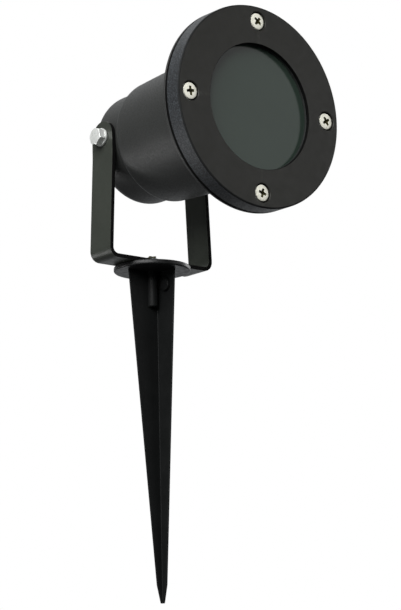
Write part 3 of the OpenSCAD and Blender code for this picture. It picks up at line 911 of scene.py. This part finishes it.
def build_gland():
    """Hexagon body and grooved dome nut at the rear."""
    z = HEAD_L
    body = prism("gland_hexagon", hexagon(15), z, z + 2.6, LAMP, NYLON)
    tube = lathe("tube", [(0, z - END_WALL - 4.5), (6, z - END_WALL - 4.5), (6, z + 1), (5.9, z + 1),
                          (5.9, z + 10), (0, z + 10)], LAMP, NYLON, 72)
    combine(body, tube, "UNION")
    bore = lathe("bore", [(0, z - 12), (4, z - 12), (4, z + 3.4), (5.1, z + 3.4), (5.1, z + 12),
                          (0, z + 12)], LAMP, NYLON, 72)
    combine(body, bore)
    round_edges(body, 0.2, 2)
    shade(body)
    place_on(body, "head", "gland_plastic", "gland_body")

    outline = [(0, z + 2.8), (6.9, z + 2.8), (7.2, z + 3.1)] + arc(5.4, z + 10.6, 1.8, 0, 90, 8)
    nut = lathe("gland_dome_nut", outline + [(0, z + 12.4)], LAMP, NYLON, 144)
    hollow = lathe("hollow", [(0, z + 1), (5.95, z + 1), (5.95, z + 10.5), (3.9, z + 10.5),
                              (3.9, z + 14), (0, z + 14)], LAMP, NYLON, 72)
    combine(nut, hollow)
    for k in range(12):
        turn = Matrix.Rotation(math.radians(30 * k), 4, "Z") @ Matrix.Translation((7.5, 0, 0))
        combine(nut, lathe("groove", [(0, z + 1), (0.6, z + 1), (0.6, z + 9.6), (0, z + 10.2)],
                           LAMP @ turn, NYLON, 16))
    shade(nut)
    place_on(nut, "head", "gland_plastic", "gland_nut")


# ---------------------------------------------------------------- carried-over CAD nodes

def dress_cad_nodes():
    """Materials for the CAD nodes that stay."""
    finishes = {
        "gland_locknut": NYLON, "gland_seal": BLACK_RUBBER,
        "lamp_reflector": REFLECTOR, "lamp_cover_glass": CLEAR_GLASS, "lamp_capsule": CLEAR_GLASS,
        "lamp_base": GLAZED, "lamp_pins": BRASS, "lampholder": GLAZED, "holder_contacts": BRASS,
        "holder_bracket": ZINC_STEEL, "bracket_screws": ZINC_STEEL,
        "terminal_block": TERMINAL, "terminal_screws": BRASS,
        "live_lead": LIVE, "neutral_lead": NEUTRAL, "earth_lead": EARTH, "earth_screw": ZINC_STEEL,
    }
    for name, material in finishes.items():
        mesh = nodes[name].data
        mesh.materials.clear()
        mesh.materials.append(material)
        for face in mesh.polygons:
            face.material_index = 0
            face.use_smooth = True
        mesh.set_sharp_from_angle(angle=SHARP)


# ---------------------------------------------------------------- studio

def build_studio():
    """Pale floor out of the lights' way, white surround, soft lights and a glow from the right rear."""
    floor_z = -0.262
    bm = bmesh.new()
    bmesh.ops.create_grid(bm, x_segments=8, y_segments=8, size=3.0)
    mesh = bpy.data.meshes.new("floor")
    bm.to_mesh(mesh)
    bm.free()
    floor = bpy.data.objects.new("floor", mesh)
    floor.location.z = floor_z
    bpy.context.scene.collection.objects.link(floor)
    pale = Surface("floor_paper", (0.5, 0.5, 0.5), 0.8)
    pale.shader.inputs["Emission Color"].default_value = (1, 1, 0.99, 1)
    pale.shader.inputs["Emission Strength"].default_value = 0.78
    pale.mottle(300, 0.02).bump(pale.noise(2.0, 3), 0.05)
    mesh.materials.append(pale.material)
    floor.visible_diffuse = floor.visible_glossy = floor.visible_shadow = False

    def soft_light(name, azimuth, elevation, distance, size, power, target=(0, 0, 0.02)):
        """An area light seen from the target at those angles, in degrees, facing it."""
        data = bpy.data.lights.new(name, "AREA")
        data.shape = "RECTANGLE"
        data.size, data.size_y = size
        data.energy = power
        lamp = bpy.data.objects.new(name, data)
        a, e = math.radians(azimuth), math.radians(elevation)
        out = Vector((math.sin(a) * math.cos(e), -math.cos(a) * math.cos(e), math.sin(e)))
        lamp.location = Vector(target) + out * distance
        lamp.rotation_euler = out.to_track_quat("Z", "Y").to_euler()
        bpy.context.scene.collection.objects.link(lamp)

    # front_box stands where the glass mirrors it into the camera
    window = Vector((0, FRONT_Y + GLASS_Z, pivot.z)) * MM
    soft_light("key_box", -60, 30, 1.4, (1.1, 1.1), 34)
    soft_light("low_left_box", -92, -28, 1.4, (0.7, 0.7), 2)
    soft_light("rear_left_box", -143, -24, 1.4, (0.4, 0.4), 3.3)
    soft_light("right_fill", 95, 15, 1.4, (0.9, 0.9), 9)
    soft_light("top_box", -150, 68, 1.5, (0.9, 0.7), 5)
    soft_light("front_box", 39.5, 11.8, 1.6, (0.9, 0.9), 2.5, window)

    world = bpy.data.worlds.new("surround")
    bpy.context.scene.world = world
    world.use_nodes = True
    tree = world.node_tree
    seen = tree.nodes["Background"]
    seen.inputs["Color"].default_value = (1, 1, 1, 1)
    seen.inputs["Strength"].default_value = 1.0
    lit = tree.nodes.new("ShaderNodeBackground")
    lit.inputs["Color"].default_value = (0.95, 0.98, 1.0, 1)
    direction = tree.nodes.new("ShaderNodeTexCoord")
    facing = tree.nodes.new("ShaderNodeVectorMath")
    facing.operation = "DOT_PRODUCT"
    facing.inputs[1].default_value = (0.6, 0.76, 0.25)     # the way to the middle of the glow
    glow = tree.nodes.new("ShaderNodeMapRange")
    glow.inputs["From Min"].default_value = 0.45
    glow.inputs["From Max"].default_value = 0.95
    glow.inputs["To Min"].default_value = 0.05
    glow.inputs["To Max"].default_value = 0.65
    tree.links.new(direction.outputs["Generated"], facing.inputs[0])
    tree.links.new(facing.outputs["Value"], glow.inputs["Value"])
    tree.links.new(glow.outputs["Result"], lit.inputs["Strength"])
    path = tree.nodes.new("ShaderNodeLightPath")
    mix = tree.nodes.new("ShaderNodeMixShader")
    tree.links.new(path.outputs["Is Camera Ray"], mix.inputs["Fac"])
    tree.links.new(lit.outputs["Background"], mix.inputs[1])
    tree.links.new(seen.outputs["Background"], mix.inputs[2])
    tree.links.new(mix.outputs["Shader"], tree.nodes["World Output"].inputs["Surface"])
    bpy.context.scene.view_settings.view_transform = "Standard"


def build_camera():
    """The photograph's view: from the left and a little below, with a long lens."""
    azimuth, elevation, roll = math.radians(-39.49), math.radians(-11.81), math.radians(1.26)
    aim = Vector((28.27, -3.21, -14.15)) * MM
    distance = 1.0596
    back = Vector((math.sin(azimuth) * math.cos(elevation), -math.cos(azimuth) * math.cos(elevation),
                   math.sin(elevation)))
    right = Vector((0, 0, 1)).cross(back).normalized()
    up = back.cross(right)
    tilted_right = right * math.cos(roll) - up * math.sin(roll)
    tilted_up = up * math.cos(roll) + right * math.sin(roll)
    data = bpy.data.cameras.new("camera")
    data.sensor_width = 36
    data.lens = 123.2
    data.clip_start, data.clip_end = 0.05, 20
    camera = bpy.data.objects.new("camera", data)
    turn = Matrix((tilted_right, tilted_up, back)).transposed()
    camera.matrix_world = Matrix.Translation(aim + back * distance) @ turn.to_4x4()
    bpy.context.scene.collection.objects.link(camera)
    bpy.context.scene.camera = camera


build_camera()
build_studio()
build_bezel()
build_bezel_screws()
build_seals_and_glass()
build_housing()
build_pivot_bolts()
build_yoke()
build_stake_fixing()
build_stake()
build_gland()
dress_cad_nodes()
